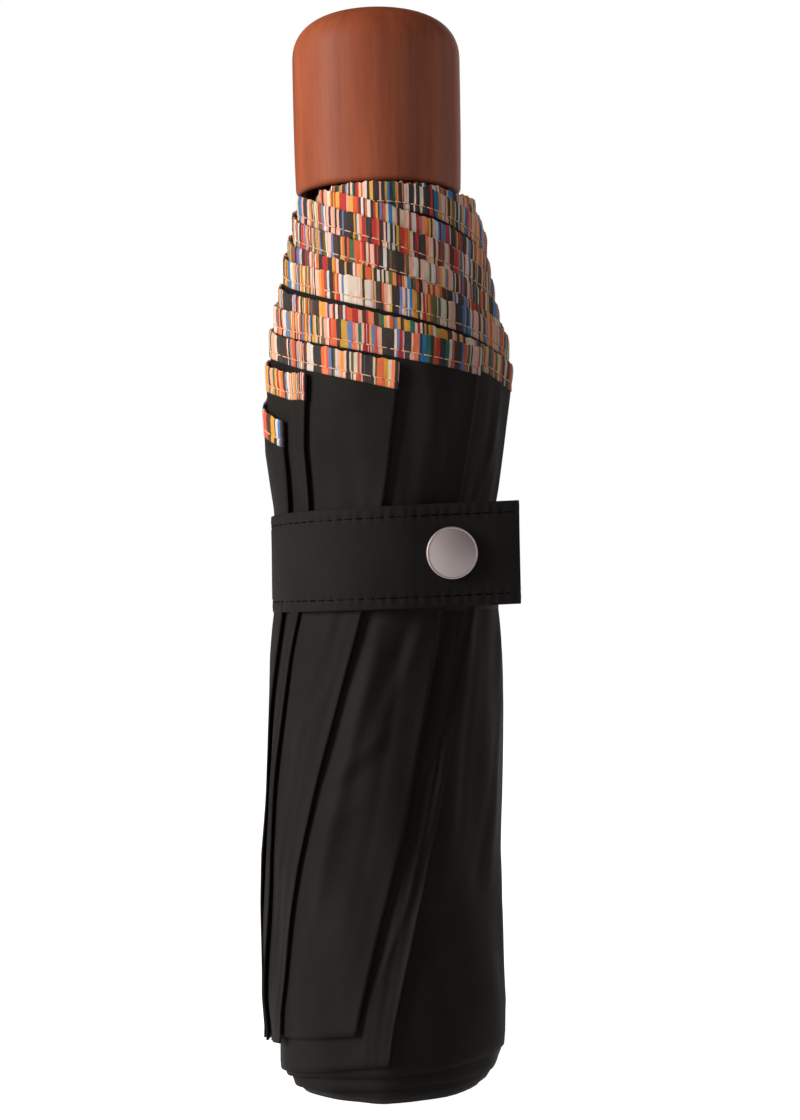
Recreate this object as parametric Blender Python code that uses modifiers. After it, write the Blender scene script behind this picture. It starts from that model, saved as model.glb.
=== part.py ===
"""Compact folding umbrella, closed and wound, standing on its ferrule with the handle up.

Metres, +Z up. The shaft is the Z axis and the ferrule's flat end lies on z = 0.
Eight folding arms stand round the shaft. Each arm has an inner, a middle and an outer rib that
fold as a Z, and a stretcher that reaches from the runner to the inner rib.
"""

import math

import bmesh
import bpy
from mathutils import Matrix, Vector

MM = 0.001
GAP = 0.3 * MM                       # clearance between pieces that touch

# Facets round the turned pieces
TUBE_SIDES = 20
FERRULE_SIDES = 24
HUB_SIDES = 32
HANDLE_SIDES = 40
WIRE_SIDES = (24, 6)
PIN_SIDES = 8
DISC_SIDES = 24

# Shaft: three tubes that slide in each other
TUBE_WALL = 0.6 * MM
TOP_TUBE_R = 3.2 * MM
MIDDLE_TUBE_R = TOP_TUBE_R + GAP + TUBE_WALL
LOWER_TUBE_R = MIDDLE_TUBE_R + GAP + TUBE_WALL
TOP_TUBE_Z = (9.6 * MM, 236 * MM)
MIDDLE_TUBE_Z = (20 * MM, 241 * MM)
LOWER_TUBE_Z = (24 * MM, 261 * MM)

# Ferrule and crown, at the foot of the closed umbrella
FERRULE_R = 6.5 * MM
FERRULE_TOP = 9.3 * MM
FERRULE_CHAMFER = 1.0 * MM
CROWN_R = 8.4 * MM
CROWN_Z = (9.6 * MM, 17.5 * MM)
CROWN_FLOOR = 11.6 * MM
CROWN_WALL = 0.9 * MM                # between the bore and the slots
WIRE_R = 0.4 * MM

# Arms: pivots as (distance from the shaft, height)
ARMS = 8
FIRST_ARM_DEG = 10.5                 # sets the strap's snap midway between two arms
CROWN_PIVOT = (7.0 * MM, 14 * MM)
KNEE_PIVOT = (12.4 * MM, 210 * MM)
ELBOW_PIVOT = (14.8 * MM, 24 * MM)
RIB_TIP = (16.6 * MM, 226 * MM)
STRETCHER_REACH = 92 * MM            # crown pivot to the stretcher's seat on the inner rib
RUNNER_PIVOT = (8.6 * MM, 198 * MM)
BAR_WIDTH = 2.2 * MM
BAR_THICK = 1.0 * MM
PIN_R = 0.55 * MM
PIN_HEAD = 0.2 * MM                  # how far a pin stands out of the far bar
HOLE_R = 0.9 * MM
MIDDLE_PLANE = BAR_THICK + GAP       # the middle rib lies beside the inner rib
STRETCHER_PLANE = -(BAR_THICK + GAP)

# Runner
RUNNER_BORE_R = LOWER_TUBE_R + GAP
RUNNER_SLEEVE_R = 6.9 * MM
RUNNER_FLANGE_R = 10.2 * MM
RUNNER_Z = (194.6 * MM, 214 * MM)
RUNNER_FLANGE_TOP = 201 * MM
RUNNER_LIP = 1.2 * MM                # flange left over the slots
SLOT_WIDTH = BAR_THICK + 2 * GAP

# Handle
HANDLE_R = 21.9 * MM
HANDLE_Z = (231 * MM, 280 * MM)
HANDLE_SHOULDER_Z = 266 * MM
HANDLE_POWERS = (3.2, 2.3)           # superellipse of the rounded top: across, upwards
CUP_R = 19.3 * MM
CUP_TOP = 248 * MM
CUP_CORNER = 3 * MM
HANDLE_RIM = 1.2 * MM
DOME_STEPS = 8
COLLAR_R = 7.7 * MM
COLLAR_Z = (238 * MM, 261.5 * MM)

# Canopy: eight gores, each folded double and wound round the frame
GORE_INNER_R = 18.4 * MM
GORE_GAP_DEG = 3.0                   # angular clearance between neighbouring gores
GORE_LEVEL_STEP = 22 * MM
GORE_SIDE_STEPS = 4
GORE_ARC_STEPS = 5
WIND_TOP_Z = 178 * MM                # above this height the free edges no longer wind
WIND_DEG_AT_TOP = 35.0
WIND_DEG_PER_MM = 0.45
# (height, radius, sideways shift) of the wound canopy, in mm
CANOPY_OUTLINE = [
    (2, 24.0, -1.5), (12, 31.3, -1.8), (40, 30.9, -2.7), (75, 30.3, -2.1), (100, 29.8, -1.0),
    (122, 28.4, 0.0), (152, 28.4, 0.0), (165, 30.6, 0.5), (190, 31.8, 1.5), (210, 29.8, 1.4),
    (226, 24.5, 2.0),
]
CROWN_CLOTH_R = (7.2 * MM, 17.6 * MM)
CROWN_CLOTH_Z = (3 * MM, 8 * MM)
CROWN_CLOTH_SLOPE = 2 * MM

# Tie strap and its snap; azimuths in degrees from the front (-Y), positive towards +X
STRAP_Z = (125 * MM, 149 * MM)
STRAP_THICK = 0.6 * MM
STRAP_BAND_R = 28.8 * MM
STRAP_BAND_ARC = (14, 266)
STRAP_TAIL_R = STRAP_BAND_R + STRAP_THICK + GAP
STRAP_TAIL_ARC = (-90, 12)
STRAP_TAIL_RISE = 0.6 * MM           # the tail's arc widens, to clear the snap under it
STRAP_TAIL_END = 28 * MM             # straight free end past the arc
STRAP_STEP_DEG = 10
SNAP_ALONG = 10.3 * MM               # from the start of the straight end to the snap
SNAP_HEIGHT = 137 * MM
SNAP_R = 6.5 * MM
SNAP_THICK = 1.4 * MM
STUD_R = 3.0 * MM

COLOURS = {
    "wood": ((0.30, 0.085, 0.032, 1), 0.28, 0.0),
    "steel": ((0.62, 0.63, 0.65, 1), 0.25, 1.0),
    "black_steel": ((0.03, 0.03, 0.032, 1), 0.4, 1.0),
    "black_plastic": ((0.02, 0.02, 0.022, 1), 0.45, 0.0),
    "cloth": ((0.012, 0.012, 0.013, 1), 0.75, 0.0),
    "nickel": ((0.72, 0.70, 0.69, 1), 0.3, 1.0),
}


def clear_scene():
    for obj in list(bpy.data.objects):
        bpy.data.objects.remove(obj)


def make_collection(name, hidden=False):
    group = bpy.data.collections.new(name)
    bpy.context.scene.collection.children.link(group)
    group.hide_render = hidden
    return group


clear_scene()
PARTS = make_collection("folding_umbrella")
CUTTERS = make_collection("cutters", hidden=True)


def material(name):
    mat = bpy.data.materials.get(name)
    if mat is None:
        colour, roughness, metallic = COLOURS[name]
        mat = bpy.data.materials.new(name)
        mat.use_nodes = True
        shader = mat.node_tree.nodes["Principled BSDF"]
        shader.inputs["Base Color"].default_value = colour
        shader.inputs["Roughness"].default_value = roughness
        shader.inputs["Metallic"].default_value = metallic
        mat.diffuse_color = colour
    return mat


def add_object(name, mesh, look, parent=None, location=(0, 0, 0), turn=0.0):
    if not mesh.materials:
        mesh.materials.append(material(look))
    obj = bpy.data.objects.new(name, mesh)
    obj.location = location
    obj.rotation_euler = (0, 0, turn)
    obj.parent = parent
    PARTS.objects.link(obj)
    return obj


def joint_empty(name, location, parent=None):
    empty = bpy.data.objects.new(name, None)
    empty.empty_display_size = 0.01
    empty.location = location
    empty.parent = parent
    PARTS.objects.link(empty)
    return empty


def turned(name, profile, look, parent=None, steps=32, closed=True):
    """Turn a profile of (radius, height) points, listed down the outer side, round Z."""
    mesh = bpy.data.meshes.new(name)
    points = [(radius, 0, height) for radius, height in profile]
    edges = [(i, i + 1) for i in range(len(points) - 1)]
    if closed:
        edges.append((len(points) - 1, 0))
    mesh.from_pydata(points, edges, [])
    obj = add_object(name, mesh, look, parent)
    screw = obj.modifiers.new("turn", "SCREW")
    screw.steps = steps
    screw.render_steps = steps
    screw.use_merge_vertices = True
    screw.merge_threshold = 0.00001
    screw.use_smooth_shade = True
    return obj


def flat_plate(outline, holes, thickness):
    """Mesh of a flat outline with holes, in its own XY plane, thick along Z about z = 0."""
    curve = bpy.data.curves.new("plate", "CURVE")
    curve.dimensions = "2D"
    curve.fill_mode = "BOTH"
    curve.extrude = thickness / 2
    for loop in [outline, *holes]:
        spline = curve.splines.new("POLY")
        spline.points.add(len(loop) - 1)
        for point, (x, y) in zip(spline.points, loop):
            point.co = (x, y, 0, 1)
        spline.use_cyclic_u = True
    obj = bpy.data.objects.new("plate", curve)
    bpy.context.scene.collection.objects.link(obj)
    bpy.context.view_layer.update()
    mesh = bpy.data.meshes.new_from_object(obj.evaluated_get(bpy.context.evaluated_depsgraph_get()))
    bpy.data.objects.remove(obj)
    weld(mesh)
    return mesh


def weld(mesh):
    work = bmesh.new()
    work.from_mesh(mesh)
    bmesh.ops.remove_doubles(work, verts=work.verts, dist=0.000005)
    bmesh.ops.recalc_face_normals(work, faces=work.faces)
    work.to_mesh(mesh)
    work.free()


def ring(radius, centre, count, start=0.0):
    return [
        (centre[0] + radius * math.cos(start + 2 * math.pi * i / count),
         centre[1] + radius * math.sin(start + 2 * math.pi * i / count))
        for i in range(count)
    ]


def bar_outline(length, steps=4):
    """Round-ended bar from (0, 0) to (0, length)."""
    half = BAR_WIDTH / 2
    foot = [(half * math.cos(a), half * math.sin(a))
            for a in (math.pi + math.pi * i / steps for i in range(steps + 1))]
    head = [(half * math.cos(a), length + half * math.sin(a))
            for a in (math.pi * i / steps for i in range(steps + 1))]
    return foot + head


def bar_mesh(name, start, end, plane, holes, pin=None):
    """Flat bar in the radial plane from pivot start to pivot end, with its origin at start.

    plane is the bar's offset sideways. holes and pin give places along the bar; the pin
    sticks out sideways to pin[1], to carry the next bar.
    """
    run = Vector((end[0] - start[0], end[1] - start[1]))
    length = run.length
    lean = math.atan2(run.x, run.y)
    loops = [ring(HOLE_R, (0, place * length), 6) for place in holes]
    mesh = flat_plate(bar_outline(length), loops, BAR_THICK)
    # curve XY becomes radial X and height Z; the thickness lies along Y
    mesh.transform(Matrix.Rotation(math.pi / 2, 4, "X"))
    mesh.transform(Matrix.Rotation(lean, 4, "Y"))
    mesh.transform(Matrix.Translation((0, plane, 0)))
    if pin:
        place, reach = pin
        centre = Vector((math.sin(lean) * place * length, 0, math.cos(lean) * place * length))
        mesh = with_pin(mesh, centre, plane, reach)
    mesh.name = name
    mesh.materials.clear()
    return mesh


def with_pin(mesh, centre, plane, reach):
    low, high = sorted((plane, reach))
    bpy.ops.mesh.primitive_cylinder_add(vertices=PIN_SIDES, radius=PIN_R, depth=high - low)
    pin = bpy.context.object
    pin.data.transform(Matrix.Rotation(math.pi / 2, 4, "X"))
    pin.data.transform(Matrix.Translation(centre + Vector((0, (low + high) / 2, 0))))
    return boolean_result(mesh, pin, "UNION")


def boolean_result(mesh, cutter, operation):
    """Apply one Boolean to a mesh and take both helper objects away again."""
    body = bpy.data.objects.new("body", mesh)
    bpy.context.scene.collection.objects.link(body)
    cut = body.modifiers.new("cut", "BOOLEAN")
    cut.operation = operation
    cut.object = cutter
    bpy.context.view_layer.update()
    result = bpy.data.meshes.new_from_object(body.evaluated_get(bpy.context.evaluated_depsgraph_get()))
    bpy.data.objects.remove(body)
    bpy.data.objects.remove(cutter)
    weld(result)
    return result


def tube(name, radius, span, parent=None):
    inner = radius - TUBE_WALL
    low, high = span
    profile = [(radius, high), (radius, low), (inner, low), (inner, high)]
    return turned(name, profile, "steel", parent, steps=TUBE_SIDES)


def slot_cutters(name, angles, inner_r, outer_r, plane, low, high):
    """One cutter mesh of radial boxes, one for each angle."""
    work = bmesh.new()
    for angle in angles:
        place = Matrix.Rotation(angle, 4, "Z") @ Matrix.Translation(
            ((inner_r + outer_r) / 2, plane, (low + high) / 2))
        size = Matrix.Diagonal((outer_r - inner_r, SLOT_WIDTH, high - low, 1))
        bmesh.ops.create_cube(work, size=1, matrix=place @ size)
    mesh = bpy.data.meshes.new(name)
    work.to_mesh(mesh)
    work.free()
    return add_cutter(name, mesh)


def add_cutter(name, mesh):
    obj = bpy.data.objects.new(name, mesh)
    obj.hide_render = True
    obj.display_type = "WIRE"
    CUTTERS.objects.link(obj)
    return obj


def wire_ring(name, radius, height, look, parent):
    round_steps, wire_steps = WIRE_SIDES
    bpy.ops.mesh.primitive_torus_add(major_radius=radius, minor_radius=WIRE_R,
                                     major_segments=round_steps, minor_segments=wire_steps)
    helper = bpy.context.object
    mesh = helper.data.copy()
    bpy.data.objects.remove(helper)
    mesh.transform(Matrix.Translation((0, 0, height)))
    mesh.name = name
    for face in mesh.polygons:
        face.use_smooth = True
    return add_object(name, mesh, look, parent)


def groove_cutter(name, radius, height):
    round_steps, wire_steps = WIRE_SIDES
    bpy.ops.mesh.primitive_torus_add(major_radius=radius, minor_radius=WIRE_R + GAP,
                                     major_segments=round_steps, minor_segments=wire_steps)
    helper = bpy.context.object
    mesh = helper.data.copy()
    bpy.data.objects.remove(helper)
    mesh.transform(Matrix.Translation((0, 0, height)))
    return add_cutter(name, mesh)


def cut(obj, cutter):
    step = obj.modifiers.new("cut_" + cutter.name, "BOOLEAN")
    step.operation = "DIFFERENCE"
    step.object = cutter


def arm_angles():
    return [math.radians(FIRST_ARM_DEG) + 2 * math.pi * k / ARMS for k in range(ARMS)]


# ---------------------------------------------------------------- shaft, ferrule and crown

def build_shaft():
    tube("top_tube", TOP_TUBE_R, TOP_TUBE_Z)
    middle = joint_empty("middle_tube_slide", (0, 0, 0))
    tube("middle_tube", MIDDLE_TUBE_R, MIDDLE_TUBE_Z, middle)
    lower = joint_empty("lower_tube_slide", (0, 0, 0), middle)
    tube("lower_tube", LOWER_TUBE_R, LOWER_TUBE_Z, lower)
    return lower


def build_ferrule():
    face = FERRULE_R - FERRULE_CHAMFER
    profile = [
        (0, FERRULE_TOP), (face, FERRULE_TOP), (FERRULE_R, FERRULE_TOP - FERRULE_CHAMFER),
        (FERRULE_R, FERRULE_CHAMFER), (face, 0), (0, 0),
    ]
    turned("ferrule_cap", profile, "black_plastic", steps=FERRULE_SIDES, closed=False)


def build_crown():
    bore = TOP_TUBE_R + GAP
    low, high = CROWN_Z
    profile = [(CROWN_R, high), (CROWN_R, low), (bore, low), (bore, high)]
    crown = turned("crown_notch", profile, "black_plastic", steps=HUB_SIDES)
    slots = slot_cutters("crown_slots", arm_angles(), bore + CROWN_WALL, CROWN_R + MM, 0,
                         CROWN_FLOOR, high + MM)
    cut(crown, slots)
    cut(crown, groove_cutter("crown_groove", *CROWN_PIVOT))
    wire_ring("crown_wire", *CROWN_PIVOT, "steel", None)


def build_runner():
    slide = joint_empty("runner_slide", (0, 0, 0))
    low, high = RUNNER_Z
    profile = [
        (RUNNER_SLEEVE_R, high), (RUNNER_SLEEVE_R, RUNNER_FLANGE_TOP),
        (RUNNER_FLANGE_R, RUNNER_FLANGE_TOP), (RUNNER_FLANGE_R, low),
        (RUNNER_BORE_R, low), (RUNNER_BORE_R, high),
    ]
    runner = turned("runner", profile, "black_plastic", slide, steps=HUB_SIDES)
    slots = slot_cutters("runner_slots", arm_angles(), RUNNER_SLEEVE_R, RUNNER_FLANGE_R + MM,
                         STRETCHER_PLANE, low - MM, RUNNER_FLANGE_TOP - RUNNER_LIP)
    cut(runner, slots)
    cut(runner, groove_cutter("runner_groove", *RUNNER_PIVOT))
    wire_ring("runner_wire", *RUNNER_PIVOT, "steel", slide)
    return slide


# ---------------------------------------------------------------- arms

def stretcher_seat():
    """Where the stretcher meets the inner rib."""
    run = Vector(KNEE_PIVOT) - Vector(CROWN_PIVOT)
    return Vector(CROWN_PIVOT) + run.normalized() * STRETCHER_REACH


def build_arms(runner_slide):
    inner_length = (Vector(KNEE_PIVOT) - Vector(CROWN_PIVOT)).length
    seat = STRETCHER_REACH / inner_length
    reach = BAR_THICK / 2 + PIN_HEAD
    inner = bar_mesh("inner_rib", CROWN_PIVOT, KNEE_PIVOT, 0, [0, seat],
                     (1, MIDDLE_PLANE + reach))
    middle = bar_mesh("middle_rib", KNEE_PIVOT, ELBOW_PIVOT, MIDDLE_PLANE, [0], (1, -reach))
    outer = bar_mesh("outer_rib", ELBOW_PIVOT, RIB_TIP, 0, [0, 1])
    stretcher = bar_mesh("stretcher", RUNNER_PIVOT, tuple(stretcher_seat()), STRETCHER_PLANE,
                         [0, 1])
    kinds = [
        ("inner_rib", inner, CROWN_PIVOT, None),
        ("middle_rib", middle, KNEE_PIVOT, None),
        ("outer_rib", outer, ELBOW_PIVOT, None),
        ("stretcher", stretcher, RUNNER_PIVOT, runner_slide),
    ]
    for k, angle in enumerate(arm_angles()):
        for name, mesh, pivot, parent in kinds:
            place = (pivot[0] * math.cos(angle), pivot[0] * math.sin(angle), pivot[1])
            add_object(f"{name}_{k + 1}", mesh, "black_steel", parent, place, angle)


# ---------------------------------------------------------------- handle

def build_handle(slide):
    low, high = HANDLE_Z
    bore = COLLAR_R + GAP
    plug_top = COLLAR_Z[1] + GAP
    rise = high - HANDLE_SHOULDER_Z
    across, upwards = HANDLE_POWERS
    dome = [
        (HANDLE_R * math.cos(a) ** (2 / across),
         HANDLE_SHOULDER_Z + rise * math.sin(a) ** (2 / upwards))
        for a in (math.pi / 2 * (1 - i / DOME_STEPS) for i in range(1, DOME_STEPS))
    ]
    profile = [
        (0, high), *dome, (HANDLE_R, HANDLE_SHOULDER_Z), (HANDLE_R, low + HANDLE_RIM),
        (HANDLE_R - HANDLE_RIM, low), (CUP_R, low), (CUP_R, CUP_TOP - CUP_CORNER),
        (CUP_R - CUP_CORNER, CUP_TOP), (bore, CUP_TOP), (bore, plug_top), (0, plug_top),
    ]
    turned("handle", profile, "wood", slide, steps=HANDLE_SIDES, closed=False)
    inner = LOWER_TUBE_R + GAP
    collar = [(COLLAR_R, COLLAR_Z[1]), (COLLAR_R, COLLAR_Z[0]),
              (inner, COLLAR_Z[0]), (inner, COLLAR_Z[1])]
    turned("handle_collar", collar, "steel", slide, steps=TUBE_SIDES)


# ---------------------------------------------------------------- canopy

def canopy_size(height):
    """Radius and sideways shift of the wound canopy at a height, both in metres."""
    mm = height / MM
    for (z0, r0, s0), (z1, r1, s1) in zip(CANOPY_OUTLINE, CANOPY_OUTLINE[1:]):
        if mm <= z1:
            share = max(0.0, (mm - z0) / (z1 - z0))
            return (r0 + (r1 - r0) * share) * MM, (s0 + (s1 - s0) * share) * MM
    return CANOPY_OUTLINE[-1][1] * MM, CANOPY_OUTLINE[-1][2] * MM


def wind_degrees(height):
    """How far a gore's free edge leads its rib; it winds back towards the foot."""
    return WIND_DEG_AT_TOP - WIND_DEG_PER_MM * max(0.0, (WIND_TOP_Z - height) / MM)


def gore_section(k, height):
    """Closed loop of a gore at one height: a slice of the canopy between two spiral sides."""
    radius, shift = canopy_size(height)
    pitch = 360 / ARMS
    start = FIRST_ARM_DEG + k * pitch

    def at(u, v):
        angle = math.radians(start + v * (pitch - GORE_GAP_DEG) + wind_degrees(height) * u)
        r = GORE_INNER_R + (radius - GORE_INNER_R) * u
        return Vector((r * math.cos(angle) + shift * u, r * math.sin(angle), height))

    sides = range(1, GORE_SIDE_STEPS)
    loop = [at(0, 0)]
    loop += [at(i / GORE_SIDE_STEPS, 0) for i in sides]
    loop += [at(1, i / GORE_ARC_STEPS) for i in range(GORE_ARC_STEPS + 1)]
    loop += [at(1 - i / GORE_SIDE_STEPS, 1) for i in sides]
    loop += [at(0, 1), at(0, 0.5)]
    return loop


def gore_heights():
    """The outline's heights, with the long stretches between them divided."""
    knots = [row[0] * MM for row in CANOPY_OUTLINE]
    levels = [knots[0]]
    for low, high in zip(knots, knots[1:]):
        count = math.ceil((high - low) / GORE_LEVEL_STEP)
        levels += [low + (high - low) * (i + 1) / count for i in range(count)]
    return levels


def loft(name, sections):
    """Closed mesh through loops of equal count, with flat ends."""
    work = bmesh.new()
    rows = [[work.verts.new(point) for point in loop] for loop in sections]
    count = len(rows[0])
    for below, above in zip(rows, rows[1:]):
        for i in range(count):
            j = (i + 1) % count
            work.faces.new((below[i], below[j], above[j], above[i]))
    work.faces.new(list(reversed(rows[0])))
    work.faces.new(rows[-1])
    bmesh.ops.triangulate(work, faces=work.faces, quad_method="SHORT_EDGE")
    bmesh.ops.recalc_face_normals(work, faces=work.faces)
    mesh = bpy.data.meshes.new(name)
    work.to_mesh(mesh)
    work.free()
    return mesh


def build_canopy():
    for k in range(ARMS):
        sections = [gore_section(k, height) for height in gore_heights()]
        name = f"canopy_gore_{k + 1}"
        add_object(name, loft(name, sections), "cloth")
    inner, outer = CROWN_CLOTH_R
    low, high = CROWN_CLOTH_Z
    profile = [(outer, high), (outer - CROWN_CLOTH_SLOPE, low), (inner, low), (inner, high)]
    turned("crown_cloth", profile, "cloth", steps=FERRULE_SIDES)


# ---------------------------------------------------------------- tie strap

def front_point(radius, azimuth, height):
    """Point at an azimuth in degrees from the front (-Y), positive towards +X."""
    angle = math.radians(azimuth - 90)
    return Vector((radius * math.cos(angle), radius * math.sin(angle), height))


def strap_heading(azimuth):
    """Direction in which a strap runs at an azimuth."""
    angle = math.radians(azimuth)
    return Vector((math.cos(angle), math.sin(angle), 0))


def strap_loop(radius, arc, rise=0.0, tail=0.0):
    """Inner and outer line of a strap seen from above, closed into one outline."""
    first, last = arc
    count = round((last - first) / STRAP_STEP_DEG)
    lines = []
    for r in (radius, radius + STRAP_THICK):
        line = [front_point(r + rise * i / count, first + (last - first) * i / count, 0)
                for i in range(count + 1)]
        if tail:
            line.append(line[-1] + strap_heading(last) * tail)
        lines.append(line)
    return lines[0] + lines[1][::-1]


def strap_mesh(name, outline, origin):
    mesh = flat_plate([(p.x, p.y) for p in outline], [], STRAP_Z[1] - STRAP_Z[0])
    mesh.transform(Matrix.Translation((0, 0, sum(STRAP_Z) / 2)))
    mesh.transform(Matrix.Translation(-origin))
    mesh.name = name
    mesh.materials.clear()
    return mesh


def snap_disc(name, radius, near, far, look, parent, origin):
    """Round snap part flat on the strap's straight end, between two distances from the shaft."""
    facing = STRAP_TAIL_ARC[1]
    place = front_point((near + far) / 2, facing, SNAP_HEIGHT) + strap_heading(facing) * SNAP_ALONG
    bpy.ops.mesh.primitive_cylinder_add(vertices=DISC_SIDES, radius=radius, depth=far - near)
    helper = bpy.context.object
    mesh = helper.data.copy()
    bpy.data.objects.remove(helper)
    mesh.transform(Matrix.Rotation(math.pi / 2, 4, "X"))
    mesh.transform(Matrix.Rotation(math.radians(facing), 4, "Z"))
    mesh.transform(Matrix.Translation(place - origin))
    mesh.name = name
    add_object(name, mesh, look, parent)


def build_strap():
    still = Vector((0, 0, 0))
    add_object("strap_band", strap_mesh("strap_band", strap_loop(STRAP_BAND_R, STRAP_BAND_ARC),
                                        still), "cloth")
    hinge = front_point(STRAP_TAIL_R + STRAP_THICK / 2, STRAP_TAIL_ARC[0], 0)
    swing = joint_empty("strap_tail_swing", hinge)
    outline = strap_loop(STRAP_TAIL_R, STRAP_TAIL_ARC, STRAP_TAIL_RISE, STRAP_TAIL_END)
    add_object("strap_tail", strap_mesh("strap_tail", outline, hinge), "cloth", swing)
    under = STRAP_TAIL_R + STRAP_TAIL_RISE
    face = under + STRAP_THICK + GAP
    snap_disc("snap_cap", SNAP_R, face, face + SNAP_THICK, "nickel", swing, hinge)
    stud = math.sqrt((STRAP_BAND_R + STRAP_THICK) ** 2 - (SNAP_ALONG - STUD_R) ** 2) + GAP
    snap_disc("snap_stud", STUD_R, stud, under - GAP, "nickel", None, still)


def main():
    lower_slide = build_shaft()
    build_ferrule()
    build_crown()
    build_arms(build_runner())
    build_handle(lower_slide)
    build_canopy()
    build_strap()


main()
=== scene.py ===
"""Looks of the folding umbrella: cloth panels, striped hems, strap, wooden handle and metal."""
import math

import bmesh
import bpy
import numpy as np
from mathutils import Matrix, Vector


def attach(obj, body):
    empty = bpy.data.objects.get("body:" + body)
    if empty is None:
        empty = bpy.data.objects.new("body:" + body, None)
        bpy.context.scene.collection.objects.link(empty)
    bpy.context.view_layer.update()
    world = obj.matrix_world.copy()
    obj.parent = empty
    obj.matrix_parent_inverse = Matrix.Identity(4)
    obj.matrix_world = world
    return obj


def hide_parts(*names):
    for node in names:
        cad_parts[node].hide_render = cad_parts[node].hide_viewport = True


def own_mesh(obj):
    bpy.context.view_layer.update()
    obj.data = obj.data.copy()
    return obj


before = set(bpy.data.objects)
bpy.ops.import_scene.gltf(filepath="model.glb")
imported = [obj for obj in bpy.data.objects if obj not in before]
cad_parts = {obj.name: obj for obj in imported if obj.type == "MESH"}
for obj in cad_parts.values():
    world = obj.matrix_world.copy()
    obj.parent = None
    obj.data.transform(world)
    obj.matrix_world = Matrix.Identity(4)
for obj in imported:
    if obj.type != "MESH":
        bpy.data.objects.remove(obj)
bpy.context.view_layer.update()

MM = 0.001
ARMS = 8

# ---------------------------------------------------------------- shape of the wound cloth
# All in mm and degrees. Azimuth 0 is the front (-Y) and grows towards +X.
# Panel k follows arm k + 1. Its free edge is named by its azimuth at each of these heights.
EDGE_HEIGHTS = (185, 165, 150, 122, 100, 80, 60, 40, 15)
FREE_EDGES = (
    (80, 76, 72, 47.5, 37.5, 31, 23.5, 12.5, 0.5),
    (128, 124, 120, 102, 96, 91, 86, 80, 75),
    (178, 174, 171, 158, 152, 146, 140, 132, 125),
    (226, 224, 222, 212, 205, 198, 190, 182, 175),
    (303, 305, 306, 297, 288, 284, 279, 274, 266),
    (321, 320.5, 321.5, 312.5, 305, 297, 293, 289, 277),
    (365.5, 363.5, 359.5, 348.5, 338, 328.5, 318.5, 311, 298.5),
    (405.5, 402.5, 399.5, 388, 380.5, 374.5, 368, 357, 344),
)
PITCH = 1.15                 # from one turn of cloth to the next one under it
CLOTH = 0.5                  # two layers of canopy cloth
# layers from each panel's free edge to its inner end
TURNS = (7.4, 7.4, 7.4, 7.4, 8.3, 8.2, 8.6, 8.85)
ROOT_TURNS = 1.7             # cloth past the last full turn, drawn in towards the ribs
ROOT_DRAWN = 1.2             # layers in which it reaches its inner radius
ROOT_RADIUS = 17.9
ROOT_TOP = 240.0             # its top edge rises into the handle's cup
# height, radius and sideways shift of the outermost layer
ENVELOPE = np.array((
    (0, 28.6, -2.5), (2, 30.2, -2.6), (5, 31.0, -2.4), (10, 31.4, -2.0), (14, 31.6, -1.7),
    (22, 32.1, -1.9), (33, 31.7, -2.3), (47, 31.2, -2.8), (60, 31.0, -2.8), (73, 30.9, -2.1),
    (86, 30.7, -1.6), (99, 30.6, -1.0), (112, 30.2, -0.4), (122, 29.4, -0.1), (136, 28.9, 0.0),
    (150, 29.6, 0.3), (164, 31.4, 0.5), (178, 32.3, 1.3), (190, 32.8, 1.5), (240, 32.8, 1.5),
))
# Hems climb as the panels wind: height of each at azimuth 0, and its fall for each degree.
HEM_HEIGHTS = (195.8, 203.7, 207.0, 212.8, 219.5, 224.2, 232.1, 234.2)
HEM_FALLS = (0.133, 0.1335, 0.1445, 0.1525, 0.151, 0.134, 0.1315, 0.1157)
HEM_DROOPS = (0, 0, 0, 0, -2.6, 1.2, 0, 0.6)     # lift of the hem at its free end
HEM_LIMIT = 230.2            # just under the handle
HEM_WIDTH = 6.6
STITCH_LINE = 4.75           # below the top of the hem
HEM_PITCH = 2.9              # from one hem stitch to the next; the puckers share it
THREAD_RADIUS = 0.17         # of every sewing thread
LAYER_LENGTH = 24            # mm of cloth taken for one layer, for patterns and stitches
PANEL_SHIFT = 250            # keeps the patterns of neighbouring panels apart
# Feet sink as the panels wind: height of each at these angles behind its free edge.
FOOT_ANGLES = (0, 60, 110, 180, 250)
FOOT_HEIGHTS = (
    (11.3, 6.2, 2.4, 0.2, 0.2),
    (10.5, 8.6, 6.7, 1.0, 0.2),
    (8.5, 5.1, 5.1, 2.0, 0.2),
    (9.0, 6.0, 2.5, 0.2, 0.2),
    (10.8, 7.5, 3.5, 0.5, 0.2),
    (11.6, 8.3, 4.5, 1.0, 0.2),
    (13.4, 8.2, 4.5, 1.2, 0.2),
    (18.6, 13.8, 7.0, 1.6, 0.2),
)

# Strap: an arc from the left to BEND, then a straight free end that carries the snap
STRAP_START = -92.0
STRAP_BEND = 12.0
STRAP_END = 28.0
STRAP_LOWER = (122.5, 124.1)     # height of the lower edge where the tail starts and ends
STRAP_UPPER = (147.4, 150.0)
STRAP_ROUND = 30.4               # mean radius of the arc, from which lengths are measured
SNAP_ALONG = 10.3                # from the bend to the snap's middle
SNAP_HEIGHT = 137.1
STRAP_MIDDLE = 136               # height about which the cloth lies quiet under the strap
SEAM_INSET = 2.7                 # from the strap's edge to its seam

# Handle, turned about the shaft
HANDLE_LOW = 231.0
HANDLE_RADIUS = 21.9
HANDLE_SHOULDER = 266.0          # where the dome begins
HANDLE_RISE = 12.0               # height of the dome


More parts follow.
